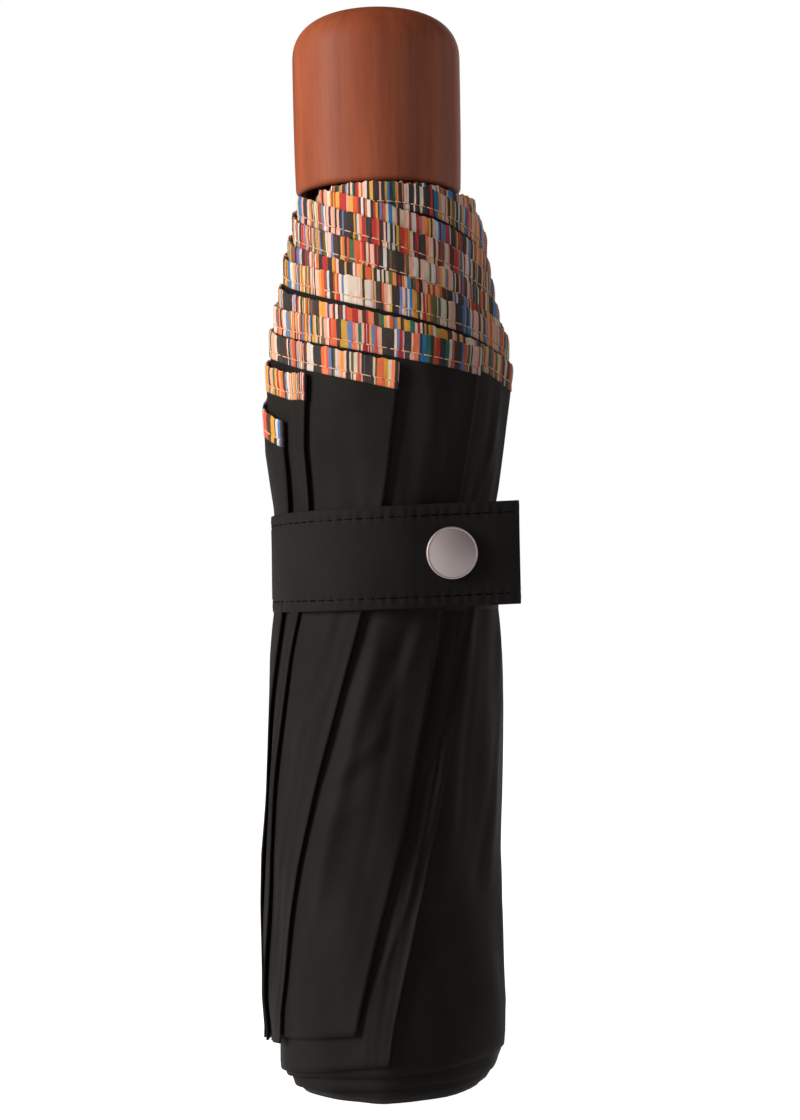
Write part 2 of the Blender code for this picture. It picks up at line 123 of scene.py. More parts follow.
def edge_azimuths(z):
    """Azimuth of the eight free edges at heights z, with the corners of the course rounded."""
    table = np.array(FREE_EDGES, float)[:, ::-1]
    knots = np.array(EDGE_HEIGHTS, float)[::-1]
    offsets = np.linspace(-9, 9, 7)
    rows = []
    for k in range(ARMS):
        rows.append(np.mean([np.interp(z + o, knots, table[k]) for o in offsets], axis=0))
    return np.stack(rows, axis=-1)


def layer_azimuth(layer, z):
    """Azimuth at which a layer count stands; whole counts are the free edges."""
    edges = edge_azimuths(z)
    low = np.floor(layer).astype(int)

    def edge(index):
        turn = index // ARMS
        place = (index % ARMS)[..., None]
        return np.take_along_axis(edges, place, axis=-1)[..., 0] + 360 * turn

    share = layer - low
    return edge(low) * (1 - share) + edge(low + 1) * share


def smooth(share):
    """Smooth step from 0 to 1."""
    share = np.clip(share, 0, 1)
    return share * share * (3 - 2 * share)


def swell(azimuth, z):
    """Gentle waves that all layers share."""
    a = np.radians(azimuth)
    wave = 0.35 * np.sin(3 * a + 0.035 * z) + 0.22 * np.sin(7 * a - 0.05 * z + 1.3)
    wave += 0.2 * np.sin(11 * a + 0.09 * z + 0.6)
    quiet = 1 - 0.75 * np.exp(-((z - STRAP_MIDDLE) / 14) ** 2)
    return wave * quiet


def outer_radius(azimuth, z):
    return np.interp(z, ENVELOPE[:, 0], ENVELOPE[:, 1]) + swell(azimuth, z)


def panel_relief(k, depth, z):
    """Ridges and waves of one panel alone, less than the room between layers."""
    fade = np.exp(-(depth / 1.3) ** 2)
    tall = 0.13 * np.sin(9.5 * depth + 0.06 * z + 2.1 * k) * np.sin(0.035 * z + 1.7 * k)
    fine = 0.05 * np.sin(21 * depth - 0.11 * z + k)
    relief = (tall + fine) * fade
    for place, lean, width, low, high, size in RIDGES[k]:
        across = depth - place - lean * (z - 100) / 100
        along = np.clip(np.minimum(z - low, high - z) / 14, 0, 1)
        relief = (relief
                  + size * np.exp(-(across / width) ** 2) * along * along * (3 - 2 * along))
    for panel, place, height, lean, width, length, size in CREASES:
        if panel == k:
            off = (z - height) - lean * (depth - place)
            run = (depth - place) / length
            relief = relief + size * np.exp(-(off / width) ** 2 - run ** 2)
    nose = 0.32 * np.exp(-(depth / 0.075) ** 2)
    quiet = 1 - 0.75 * np.exp(-((z - STRAP_MIDDLE) / 12) ** 4)
    return (relief + nose) * quiet


def ridges(k):
    """Soft lengthwise ridges and dips, at random places of each panel."""
    rng = np.random.default_rng(31 + k)
    found = []
    for _ in range(9):
        found.append((rng.uniform(0.12, 1.3), rng.uniform(-0.35, 0.35), rng.uniform(0.05, 0.13),
                      rng.uniform(15, 110), rng.uniform(118, 185),
                      rng.uniform(0.16, 0.42) * rng.choice((-1, 1))))
    return found


RIDGES = [ridges(k) for k in range(ARMS)]
# Short creases: panel, layer count and height of the middle, rise for each layer, half width,
# half length in layers, size
CREASES = (
    (7, 0.60, 88.0, -24.0, 2.2, 0.30, 0.42), (7, 0.58, 82.5, -24.0, 1.8, 0.26, -0.38),
    (7, 0.55, 75.0, -20.0, 2.6, 0.24, 0.30), (7, 0.42, 112.0, -75.0, 9.0, 0.22, -0.42),
    (7, 0.30, 113.0, -75.0, 9.0, 0.18, 0.36), (7, 0.45, 166.0, 60.0, 8.0, 0.26, 0.40),
    (7, 0.28, 160.0, 60.0, 7.0, 0.20, -0.36), (0, 0.50, 84.0, -26.0, 2.4, 0.20, -0.30),
    (0, 0.45, 163.0, -90.0, 9.0, 0.12, 0.38), (6, 0.45, 96.0, -30.0, 3.0, 0.25, 0.28),
    (6, 0.50, 60.0, -30.0, 3.0, 0.25, -0.28), (0, 0.55, 40.0, -40.0, 5.0, 0.20, 0.30),
)


def panel_place(k, depth, z, lift=0.0):
    """Point of panel k, depth layers in from its free edge, lifted off its outer face."""
    azimuth = layer_azimuth(k - depth, z)
    radius = outer_radius(azimuth, z) - PITCH * depth + panel_relief(k, depth, z)
    drawn_in = smooth((depth - TURNS[k]) / ROOT_DRAWN)
    radius = radius + (ROOT_RADIUS - radius) * drawn_in + lift
    shift = np.interp(z, ENVELOPE[:, 0], ENVELOPE[:, 2])
    a = np.radians(azimuth)
    return np.stack([radius * np.sin(a) + shift, -radius * np.cos(a), z], axis=-1)


def hem_height(k, depth):
    azimuth = layer_azimuth(k - depth, np.full_like(depth, 188.0))
    height = HEM_HEIGHTS[k] - HEM_FALLS[k] * azimuth
    over = np.clip((height - HEM_LIMIT + 3) / 6, 0, None)
    height = np.where(height > HEM_LIMIT - 3, HEM_LIMIT - 3 + 3 * np.tanh(over * 2), height)
    height = height + HEM_DROOPS[k] * np.exp(-(depth / 0.5) ** 2)
    root = smooth((depth - TURNS[k] - ROOT_DRAWN) / (ROOT_TURNS - ROOT_DRAWN))
    return height + (ROOT_TOP - height) * root


def foot_height(k, depth):
    level = np.full_like(depth, 12.0)
    behind = layer_azimuth(np.full_like(depth, k), level) - layer_azimuth(k - depth, level)
    return np.interp(behind, FOOT_ANGLES, FOOT_HEIGHTS[k])


# ---------------------------------------------------------------- mesh helpers

def grid_mesh(name, points, cloth=None, wrap=False):
    """Mesh of a grid of points in mm: rows go up and columns go round towards +X."""
    rows, columns = points.shape[:2]
    mesh = bpy.data.meshes.new(name)
    flat = points.reshape(-1, 3) * MM
    index = np.arange(rows * columns).reshape(rows, columns)
    if wrap:
        index = np.concatenate([index, index[:, :1]], axis=1)
    corners = [index[:-1, :-1], index[:-1, 1:], index[1:, 1:], index[1:, :-1]]
    quads = np.stack(corners, axis=-1)
    mesh.from_pydata(flat.tolist(), [], quads.reshape(-1, 4).tolist())
    if cloth is not None:
        layer = mesh.attributes.new("cloth", "FLOAT_VECTOR", "POINT")
        layer.data.foreach_set("vector", cloth.reshape(-1, 3).astype(np.float32).ravel())
    mesh.shade_smooth()
    return mesh


def add_piece(name, mesh, look, body):
    obj = bpy.data.objects.new(name, mesh)
    bpy.context.scene.collection.objects.link(obj)
    mesh.materials.append(look)
    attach(obj, body)
    return obj


def thicken(obj, thickness, offset=-1.0):
    solid = obj.modifiers.new("thickness", "SOLIDIFY")
    solid.thickness = thickness * MM
    solid.offset = offset
    solid.use_even_offset = False
    return solid


def round_edges(obj, width, segments=2, angle=50):
    bevel = obj.modifiers.new("round", "BEVEL")
    bevel.width = width * MM
    bevel.segments = segments
    bevel.limit_method = "ANGLE"
    bevel.angle_limit = math.radians(angle)
    bevel.harden_normals = False
    return bevel


def turned_mesh(name, profile, steps=96):
    """Mesh of a (radius, height) profile in mm, listed from the top down its outer side."""
    angles = np.linspace(0, 2 * math.pi, steps, endpoint=False)
    rows = []
    for radius, height in profile:
        rows.append(np.stack([radius * np.cos(angles), radius * np.sin(angles),
                              np.full(steps, height)], axis=-1))
    mesh = grid_mesh(name, np.array(rows)[::-1], wrap=True)
    work = bmesh.new()
    work.from_mesh(mesh)
    bmesh.ops.remove_doubles(work, verts=work.verts, dist=0.000001)
    work.to_mesh(mesh)
    work.free()
    mesh.shade_smooth()
    return mesh


# ---------------------------------------------------------------- materials

class Nodes:
    """Small helper that adds shader nodes and links them."""

    def __init__(self, name):
        self.material = bpy.data.materials.new(name)
        self.material.use_nodes = True
        self.tree = self.material.node_tree
        self.shader = self.tree.nodes["Principled BSDF"]

    def add(self, kind, **values):
        node = self.tree.nodes.new(kind)
        for key, value in values.items():
            setattr(node, key, value)
        return node

    def join(self, source, target):
        self.tree.links.new(source, target)

    def put(self, node, **inputs):
        for key, value in inputs.items():
            socket = node.inputs[int(key[1:])] if key[0] == "_" else node.inputs[key]
            if hasattr(value, "is_linked"):
                self.join(value, socket)
            else:
                socket.default_value = value

    def math(self, operation, a, b=None, c=None):
        node = self.add("ShaderNodeMath", operation=operation)
        for i, value in enumerate((a, b, c)):
            if value is not None:
                self.put(node, **{f"_{i}": value})
        return node.outputs[0]

    def scaled(self, vector, scale):
        node = self.add("ShaderNodeVectorMath", operation="MULTIPLY")
        self.put(node, _0=vector, _1=scale)
        return node.outputs[0]

    def noise(self, vector, scale, detail=3.0, roughness=0.5):
        node = self.add("ShaderNodeTexNoise")
        self.put(node, Vector=vector, Scale=scale, Detail=detail, Roughness=roughness)
        return node.outputs["Fac"]

    def spread(self, value, low, high, out_low, out_high):
        node = self.add("ShaderNodeMapRange")
        self.put(node, _0=value, _1=low, _2=high, _3=out_low, _4=out_high)
        return node.outputs[0]

    def ramp(self, value, stops, mode="LINEAR"):
        node = self.add("ShaderNodeValToRGB")
        ramp = node.color_ramp
        ramp.interpolation = mode
        while len(ramp.elements) < len(stops):
            ramp.elements.new(0.5)
        for element, (place, colour) in zip(ramp.elements, stops):
            element.position = place
            element.color = (*colour, 1)
        self.put(node, _0=value)
        return node.outputs[0]

    def mix(self, share, a, b, blend="MIX"):
        node = self.add("ShaderNodeMix", data_type="RGBA", blend_type=blend)
        self.put(node, _0=share, _6=a, _7=b)
        return node.outputs[2]

    def bump(self, height, strength, distance, normal=None):
        node = self.add("ShaderNodeBump")
        self.put(node, Strength=strength, Distance=distance, Height=height)
        if normal is not None:
            self.put(node, Normal=normal)
        return node.outputs[0]

    def object_place(self):
        return self.add("ShaderNodeTexCoord").outputs["Object"]

    def cloth_place(self):
        """Place on the flat cloth, in mm, from the mesh's own attribute."""
        return self.add("ShaderNodeAttribute", attribute_name="cloth").outputs["Vector"]


def weave_height(n, place, thread):
    """Height of a plain weave; thread is its repeat in mm."""
    split = n.add("ShaderNodeSeparateXYZ")
    n.put(split, _0=place)
    turn = 2 * math.pi / thread
    across = n.math("SINE", n.math("MULTIPLY", split.outputs[0], turn))
    along = n.math("SINE", n.math("MULTIPLY", split.outputs[1], turn))
    return n.math("MULTIPLY", across, along)


def black_cloth(name, tone=(0.0080, 0.0069, 0.0060)):
    n = Nodes(name)
    place = n.cloth_place()
    slow = n.noise(place, 0.05, 4.0, 0.55)
    fine = n.noise(n.scaled(place, (1.0, 1.0, 0.0)), 1.6, 2.0, 0.7)
    dark = tuple(c * 0.78 for c in tone)
    light = tuple(c * 1.5 for c in tone)
    colour = n.mix(n.spread(slow, 0.3, 0.7, 0.0, 1.0), (*dark, 1), (*light, 1))
    colour = n.mix(n.spread(fine, 0.35, 0.65, 0.0, 0.75), colour, (*light, 1))
    n.put(n.shader, **{"Base Color": colour})
    n.put(n.shader, Roughness=n.spread(fine, 0.3, 0.7, 0.62, 0.74))
    n.shader.inputs["Sheen Weight"].default_value = 0.012
    n.shader.inputs["Sheen Roughness"].default_value = 0.45
    n.shader.inputs["Sheen Tint"].default_value = (1.0, 0.9, 0.8, 1)
    n.shader.inputs["Specular IOR Level"].default_value = 0.06
    weave = n.bump(weave_height(n, place, 0.42), 0.35, 0.00006)
    n.put(n.shader, Normal=n.bump(slow, 0.25, 0.0012, weave))
    return n.material


STRIPES = (
    (0.62, 0.52, 0.40), (0.012, 0.010, 0.011), (0.66, 0.30, 0.20), (0.56, 0.075, 0.02),
    (0.020, 0.013, 0.012), (0.34, 0.014, 0.012), (0.64, 0.24, 0.025), (0.012, 0.15, 0.36),
    (0.70, 0.40, 0.30), (0.040, 0.017, 0.012), (0.50, 0.27, 0.022), (0.64, 0.56, 0.46),
    (0.004, 0.11, 0.07), (0.70, 0.18, 0.07), (0.014, 0.012, 0.014), (0.58, 0.48, 0.30),
    (0.10, 0.085, 0.02), (0.10, 0.16, 0.32), (0.44, 0.02, 0.014), (0.018, 0.012, 0.011),
    (0.62, 0.30, 0.05), (0.52, 0.48, 0.44), (0.042, 0.018, 0.012), (0.58, 0.11, 0.03),
    (0.014, 0.010, 0.010), (0.66, 0.34, 0.24),
)


def striped_ribbon():
    """Fine stripes of random width and colour, across the ribbon."""
    n = Nodes("hem_ribbon")
    place = n.cloth_place()
    split = n.add("ShaderNodeSeparateXYZ")
    n.put(split, _0=place)
    wobble = n.noise(n.scaled(place, (0.0, 1.0, 1.0)), 0.6, 1.0)
    along = n.math("ADD", split.outputs[0], n.spread(wobble, 0.0, 1.0, -0.05, 0.05))
    tug = n.math("SINE", n.math("MULTIPLY", along, 2 * math.pi / HEM_PITCH))
    below = n.spread(split.outputs[1], STITCH_LINE - 0.3, STITCH_LINE + 0.4, 0.0, 0.38)
    along = n.math("ADD", along, n.math("MULTIPLY", tug, below))
    colours = []
    for spacing, shift in ((1.5, 0.0), (0.65, 37.0)):
        cells = n.add("ShaderNodeTexVoronoi", voronoi_dimensions="1D", feature="F1")
        n.put(cells, W=n.math("ADD", along, shift), Scale=1 / spacing, Randomness=1.0)
        pick = n.add("ShaderNodeSeparateColor")
        n.put(pick, _0=cells.outputs["Color"])
        stops = [(i / len(STRIPES), c) for i, c in enumerate(STRIPES)]
        colours.append((n.ramp(pick.outputs[0], stops, "CONSTANT"), pick.outputs[1]))
    (wide, _), (narrow, chance) = colours
    colour = n.mix(n.math("GREATER_THAN", chance, 0.55), wide, narrow)
    fibre = n.noise(n.scaled(place, (2.0, 7.0, 0.0)), 1.0, 2.0, 0.7)
    colour = n.mix(n.spread(fibre, 0.3, 0.75, 0.0, 0.07), colour, (0.5, 0.44, 0.38, 1))
    colour = n.mix(1.0, colour, (1.02, 1.02, 1.08, 1), "MULTIPLY")
    n.put(n.shader, **{"Base Color": colour})
    n.put(n.shader, Roughness=0.78)
    n.shader.inputs["Sheen Weight"].default_value = 0.03
    n.shader.inputs["Specular IOR Level"].default_value = 0.15
    rib = n.math("SINE", n.math("MULTIPLY", split.outputs[1], 2 * math.pi / 0.28))
    n.put(n.shader, Normal=n.bump(n.math("ADD", rib, fibre), 0.3, 0.00006))
    return n.material


def thread_look(name, colour, specular=0.4):
    n = Nodes(name)
    n.shader.inputs["Specular IOR Level"].default_value = specular
    twist = n.noise(n.scaled(n.object_place(), (1.0, 1.0, 1.0)), 2600.0, 2.0)
    dark = tuple(c * 0.7 for c in colour)
    n.put(n.shader, **{"Base Color": n.mix(twist, (*dark, 1), (*colour, 1))})
    n.put(n.shader, Roughness=0.7, Normal=n.bump(twist, 0.4, 0.0001))
    return n.material


def wood_look():
    n = Nodes("varnished_wood")
    place = n.object_place()
    broad = n.noise(n.scaled(place, (1.0, 1.0, 0.14)), 70.0, 4.0, 0.55)
    streak = n.noise(n.scaled(place, (1.0, 1.0, 0.035)), 420.0, 5.0, 0.6)
    pore = n.noise(n.scaled(place, (1.0, 1.0, 0.03)), 1700.0, 2.0, 0.6)
    colour = n.ramp(broad, [(0.28, (0.155, 0.033, 0.014)), (0.46, (0.240, 0.056, 0.022)),
                            (0.62, (0.300, 0.075, 0.030)), (0.8, (0.360, 0.100, 0.041))])
    colour = n.mix(n.spread(streak, 0.42, 0.7, 0.0, 0.5), colour, (0.16, 0.036, 0.015, 1))
    colour = n.mix(n.spread(pore, 0.6, 0.75, 0.0, 0.4), colour, (0.09, 0.024, 0.013, 1))
    n.put(n.shader, **{"Base Color": colour})
    n.put(n.shader, Roughness=n.spread(streak, 0.3, 0.7, 0.54, 0.62))
    n.shader.inputs["Specular IOR Level"].default_value = 0.15
    n.shader.inputs["Coat Weight"].default_value = 0.015
    n.shader.inputs["Coat Roughness"].default_value = 0.3
    n.put(n.shader, Normal=n.bump(n.math("ADD", streak, pore), 0.06, 0.0004))
    return n.material


def metal_look(name, colour, roughness, scale=(1.0, 1.0, 1.0), grain=900.0, metallic=1.0,
               contrast=0.88):
    n = Nodes(name)
    brush = n.noise(n.scaled(n.object_place(), scale), grain, 3.0, 0.6)
    dark = tuple(c * contrast for c in colour)
    n.put(n.shader, **{"Base Color": n.mix(brush, (*dark, 1), (*colour, 1))})
    n.put(n.shader, Metallic=metallic)
    low, high = roughness * (0.5 + contrast / 2), roughness * (1.5 - contrast / 2)
    n.put(n.shader, Roughness=n.spread(brush, 0.3, 0.7, low, high))
    n.put(n.shader, Normal=n.bump(brush, 0.4 * (1 - contrast), 0.0002))
    return n.material


LOOKS = {
    "cloth": black_cloth("canopy_cloth"),
    "strap": black_cloth("strap_cloth", (0.0080, 0.0071, 0.0064)),
    "ribbon": striped_ribbon(),
    "peach_thread": thread_look("peach_thread", (0.74, 0.42, 0.24)),
    "black_thread": thread_look("black_thread", (0.0010, 0.0010, 0.0014), 0.02),
    "wood": wood_look(),
    "nickel": metal_look("satin_nickel", (0.34, 0.285, 0.28), 0.5, grain=260.0, metallic=0.6,
                         contrast=0.96),
    "bright": metal_look("bright_steel", (0.62, 0.63, 0.65), 0.22, (1.0, 1.0, 0.05), 500.0),
    "enamel": metal_look("black_enamel", (0.03, 0.03, 0.032), 0.38),
    "plastic": metal_look("black_plastic", (0.022, 0.022, 0.024), 0.5, metallic=0.0),
}


# ---------------------------------------------------------------- canopy

def folds_flat(obj):
    """Gives the piece its own copy of its mesh."""
    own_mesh(obj)


def layer_steps(first, last, fine, coarse):
    """Layer counts from the free edge inwards, close together where they show."""
    near = np.arange(first, 1.6, fine)
    far = np.linspace(1.6, last, round((last - 1.6) / coarse) + 1)
    return np.concatenate([near, far])


def build_panel(k):
    depth = layer_steps(0.0, TURNS[k] + ROOT_TURNS, 0.035, 0.1)
    share = np.linspace(0, 1, 110)
    d, v = np.meshgrid(depth, share)
    z = foot_height(k, d) + (hem_height(k, d) - foot_height(k, d)) * v
    points = panel_place(k, d, z)
    cloth = np.stack([d * LAYER_LENGTH + PANEL_SHIFT * k, z, np.zeros_like(z)], axis=-1)
    name = f"canopy_panel_{k + 1}"
    mesh = grid_mesh(name, points[:, ::-1], cloth[:, ::-1])
    panel = add_piece(name, mesh, LOOKS["cloth"], f"outer_rib_{k + 1}")
    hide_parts(f"canopy_gore_{k + 1}")
    thicken(panel, CLOTH)
    return panel


def hem_lift(along, w):
    """How far the ribbon stands off the cloth: full at the fold, drawn in at the stitches."""
    full = 0.30 * np.sqrt(np.clip((w + 0.3) / 1.3, 0, 1)) - 0.03 * np.clip(w - 1, 0, None)
    near = np.exp(-((w - STITCH_LINE) / 1.7) ** 2)
    pucker = 0.11 * np.sin(2 * math.pi * along / HEM_PITCH) * near
    drawn = -0.18 * np.exp(-((w - STITCH_LINE) / 0.45) ** 2)
    return 0.05 + full + pucker + drawn


def build_hem(k):
    drop = np.concatenate([np.linspace(HEM_WIDTH, 1.0, 12), [0.6, 0.3, 0.1, -0.1, -0.2]])
    d, w = np.meshgrid(layer_steps(-0.012, TURNS[k] + ROOT_DRAWN, 0.02, 0.025), drop)
    along = d * LAYER_LENGTH
    scallop = 0.14 * np.sin(2 * math.pi * along / HEM_PITCH)
    scallop = scallop + 0.12 * np.sin(along * 0.83 + k)
    z = hem_height(k, d) - w + scallop * (1 - np.clip(w / HEM_WIDTH, 0, 1))
    points = panel_place(k, d, z, hem_lift(along, w))
    cloth = np.stack([along + PANEL_SHIFT * k, w, np.zeros_like(z)], axis=-1)
    name = f"hem_ribbon_{k + 1}"
    mesh = grid_mesh(name, points[:, ::-1], cloth[:, ::-1])
    hem = add_piece(name, mesh, LOOKS["ribbon"], f"outer_rib_{k + 1}")
    thicken(hem, CLOTH + 0.45)
    return hem


def stitch_mesh(name, starts, ends, radius):
    """Short round threads from each start to each end, in mm."""
    rings = []
    faces = []
    sides = 5
    for a, b in zip(starts, ends):
        run = (b - a) / np.linalg.norm(b - a)
        side = np.cross(run, (0.0, 0.0, 1.0))
        if np.linalg.norm(side) < 0.1:
            side = np.cross(run, (1.0, 0.0, 0.0))
        side = side / np.linalg.norm(side)
        up = np.cross(side, run)
        base = len(rings) * sides
        for share, size in ((0.0, 0.45), (0.12, 0.95), (0.5, 1.0), (0.88, 0.95), (1.0, 0.45)):
            centre = a + (b - a) * share
            ring = [centre + radius * size * (side * math.cos(t) + up * math.sin(t))
                    for t in (2 * math.pi * i / sides for i in range(sides))]
            rings.append(ring)
        for r in range(4):
            for i in range(sides):
                j = (i + 1) % sides
                p = base + r * sides
                faces.append((p + i, p + j, p + sides + j, p + sides + i))
        faces.append(tuple(base + i for i in reversed(range(sides))))
        faces.append(tuple(base + 4 * sides + i for i in range(sides)))
    mesh = bpy.data.meshes.new(name)
    mesh.from_pydata((np.array(rings).reshape(-1, 3) * MM).tolist(), [], faces)
    mesh.shade_smooth()
    return mesh


def build_hem_stitches(k):
    """Running stitch along the ribbon, about 3 mm a stitch, with a small gap between."""
    length = 2.35
    start = np.arange(0.5, TURNS[k] * LAYER_LENGTH - 3, HEM_PITCH)

    def at(along):
        depth = along / LAYER_LENGTH
        z = hem_height(k, depth) - STITCH_LINE
        return panel_place(k, depth, z, 0.24)

    mesh = stitch_mesh(f"hem_stitch_{k + 1}", at(start), at(start + length), THREAD_RADIUS)
    stitches = add_piece(mesh.name, mesh, LOOKS["peach_thread"], f"outer_rib_{k + 1}")
    return stitches


def build_canopy():
    for k in range(ARMS):
        panel = build_panel(k)
        hem = build_hem(k)
        stitches = build_hem_stitches(k)
        for piece in (panel, hem, stitches):
            folds_flat(piece)


def build_crown_cloth():
    """Gathered cloth between the ferrule and the folds of the panels."""
    radii = np.linspace(6.9, 18.5, 16)
    angles = np.linspace(0, 2 * math.pi, 160, endpoint=False)
    r, a = np.meshgrid(radii, angles, indexing="ij")
    share = (r - radii[0]) / (radii[-1] - radii[0])
    z = 5.2 - 3.2 * np.sin(share * math.pi * 0.8) + 0.9 * share * np.sin(24 * a + 3 * share)
    points = np.stack([r * np.cos(a), r * np.sin(a), z], axis=-1)[:, ::-1]
    cloth = np.stack([r, a * 20, z * 0], axis=-1)[:, ::-1]
    mesh = grid_mesh("crown_gather", points, cloth, wrap=True)
    gather = add_piece("crown_gather", mesh, LOOKS["cloth"], "shaft_root")
    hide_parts("crown_cloth")
    thicken(gather, 0.4, 1.0)


# ---------------------------------------------------------------- strap and snap

def strap_point(azimuth, radius, z):
    a = np.radians(azimuth)
    return np.stack([radius * np.sin(a), -radius * np.cos(a), z], axis=-1)


def tail_length():
    return math.radians(STRAP_BEND - STRAP_START) * STRAP_ROUND


def tail_point(along, across, lift=0.0):
    """Point of the tail: along is 0 at the bend, negative on the arc, in mm."""
    azimuth = STRAP_BEND + np.degrees(np.minimum(along, 0) / STRAP_ROUND)
    share = (along + tail_length()) / (tail_length() + STRAP_END)
    round_share = np.clip((azimuth - STRAP_START) / (STRAP_BEND - STRAP_START), 0, 1)
    radius = 29.65 + 1.3 * round_share ** 1.5
    radius = radius + 0.10 * np.sin(azimuth / 9.0) * (1 - round_share)
    low = STRAP_LOWER[0] + (STRAP_LOWER[1] - STRAP_LOWER[0]) * share
    high = STRAP_UPPER[0] + (STRAP_UPPER[1] - STRAP_UPPER[0]) * share
    points = strap_point(azimuth, radius + lift, low + (high - low) * across)
    past = np.maximum(along, 0)
    points[..., 0] += past * math.cos(math.radians(STRAP_BEND))
    points[..., 1] += past * math.sin(math.radians(STRAP_BEND))
    return points


def build_tail():
    along = np.linspace(-tail_length(), STRAP_END, 170)
    across = np.linspace(0, 1, 34)
    s, v = np.meshgrid(along, across)
    width = STRAP_UPPER[0] - STRAP_LOWER[0]
    from_edge = np.minimum(v, 1 - v) * width
    seam = -0.34 * np.exp(-((from_edge - SEAM_INSET) / 0.42) ** 2)
    near = np.exp(-((from_edge - 2.2) / 1.5) ** 2)
    pucker = 0.10 * np.sin(2.3 * s + np.sin(0.9 * s)) * near
    pad = 0.10 * np.clip(from_edge / 3, 0, 1)
    wave = 0.12 * np.sin(0.31 * s + 2.2 * v) * np.sin(math.pi * v)
    dip = -0.30 * np.exp(-((s - SNAP_ALONG) ** 2 / 90 + (v - 0.55) ** 2 / 0.12))
    points = tail_point(s, v, seam + pucker + pad + wave + dip)
    cloth = np.stack([s, v * width, np.full_like(s, 7.0)], axis=-1)
    mesh = grid_mesh("strap_tail_cloth", points, cloth)
    tail = add_piece("strap_tail_cloth", mesh, LOOKS["strap"], "strap_tail")
    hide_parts("strap_tail")
    thicken(tail, 0.75)
    round_edges(tail, 0.22)
    for side, across_at in (("upper", 1 - SEAM_INSET / width), ("lower", SEAM_INSET / width)):
        start = np.arange(1.0 - tail_length(), STRAP_END - 3, 2.7)

        def at(place):
            return tail_point(place, np.full_like(place, across_at), -0.10)

        mesh = stitch_mesh(f"strap_stitch_{side}", at(start), at(start + 2.0), THREAD_RADIUS)
        row = add_piece(mesh.name, mesh, LOOKS["black_thread"], "strap_tail")


def build_band():
    azimuth = np.linspace(12, 268, 170)
    across = np.linspace(0, 1, 26)
    a, v = np.meshgrid(azimuth, across)
    low, high = STRAP_LOWER[0] + 0.7, STRAP_UPPER[0]
    width = high - low
    from_edge = np.minimum(v, 1 - v) * width
    seam = -0.14 * np.exp(-((from_edge - SEAM_INSET) / 0.35) ** 2)
    wave = 0.1 * np.sin(a / 13.0)
    z = low - 0.7 + width * v + 0.35 * np.cos(np.radians(a))
    points = strap_point(a, 29.3 + seam + wave, z)
    cloth = np.stack([a / 57.3 * 30, v * width, np.full_like(a, 9.0)], axis=-1)
    mesh = grid_mesh("strap_band_cloth", points, cloth)
    band = add_piece("strap_band_cloth", mesh, LOOKS["strap"], "outer_rib_5")
    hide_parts("strap_band")
    thicken(band, 0.6)
    round_edges(band, 0.2)


def snap_turned(name, profile, distance, look, body, stands_for):
    """Turned snap part, facing the same way as the strap's straight end."""
    mesh = turned_mesh(name, profile, 64)
    facing = math.radians(STRAP_BEND)
    x = distance * math.sin(facing) + SNAP_ALONG * math.cos(facing)
    y = SNAP_ALONG * math.sin(facing) - distance * math.cos(facing)
    place = Matrix.Translation(Vector((x, y, SNAP_HEIGHT)) * MM)
    upright = Matrix.Rotation(math.pi / 2, 4, "X")
    mesh.transform(place @ Matrix.Rotation(facing, 4, "Z") @ upright)
    snap = add_piece(name, mesh, LOOKS[look], body)
    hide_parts(stands_for)


def build_snap():
    cap = [(0, 1.26), (5.95, 1.26), (6.05, 1.20), (6.15, 1.32), (6.35, 1.28), (6.5, 1.10),
           (6.5, 0.45), (6.3, 0.12), (5.8, 0.0), (0, 0.0)]
    snap_turned("snap_cap_plate", cap, 31.1, "nickel", "strap_tail", "snap_cap")
    stud = [(0, 1.15), (1.5, 1.15), (2.0, 0.95), (2.2, 0.5), (3.0, 0.3), (3.0, 0.0), (0, 0.0)]
    snap_turned("snap_stud_plate", stud, 28.8, "nickel", "outer_rib_5", "snap_stud")


# ---------------------------------------------------------------- handle and metal

def build_handle():
    low, shoulder = HANDLE_LOW, HANDLE_SHOULDER
    across, upwards = 3.2, 2.3       # powers that make the dome boxier than a ball
    profile = []
    for step in range(25):
        angle = math.radians(90 - 90 * step / 24)
        radius = HANDLE_RADIUS * math.cos(angle) ** (2 / across) if step else 0.0
        height = shoulder + HANDLE_RISE * math.sin(angle) ** (2 / upwards)
        profile.append((radius, height))
    for step in range(1, 13):
        height = shoulder + (low + 1.6 - shoulder) * step / 12
        profile.append((HANDLE_RADIUS - 0.35 * (step / 12) ** 3, height))
    for step in range(1, 7):
        angle = math.pi / 2 * step / 6
        radius = 21.55 - 1.4 * (1 - math.cos(angle))
        profile.append((radius, low + 1.6 * (1 - math.sin(angle))))
    profile += [(19.6, low + 0.1), (19.3, low + 0.6), (19.3, 245.0), (18.4, 247.2),
                (16.3, 248.0), (8.2, 248.0), (8.0, 248.3), (8.0, 261.8), (0, 261.8)]
    mesh = turned_mesh("wood_handle", profile, 128)
    handle = add_piece("wood_handle", mesh, LOOKS["wood"], "handle_and_lower_tube")
    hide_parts("handle")


NODE_LOOKS = {
    "bright": ("top_tube", "middle_tube", "lower_tube", "handle_collar", "crown_wire",
               "runner_wire"),
    "plastic": ("ferrule_cap", "crown_notch", "runner"),
    "enamel": tuple(f"{kind}_{n + 1}" for n in range(ARMS)
                    for kind in ("inner_rib", "middle_rib", "outer_rib", "stretcher")),
}


def finish_nodes():
    for look, names in NODE_LOOKS.items():
        for name in names:
            obj = bpy.data.objects[name]
            obj.data.materials.clear()
            obj.data.materials.append(LOOKS[look])


# ---------------------------------------------------------------- camera, floor and light

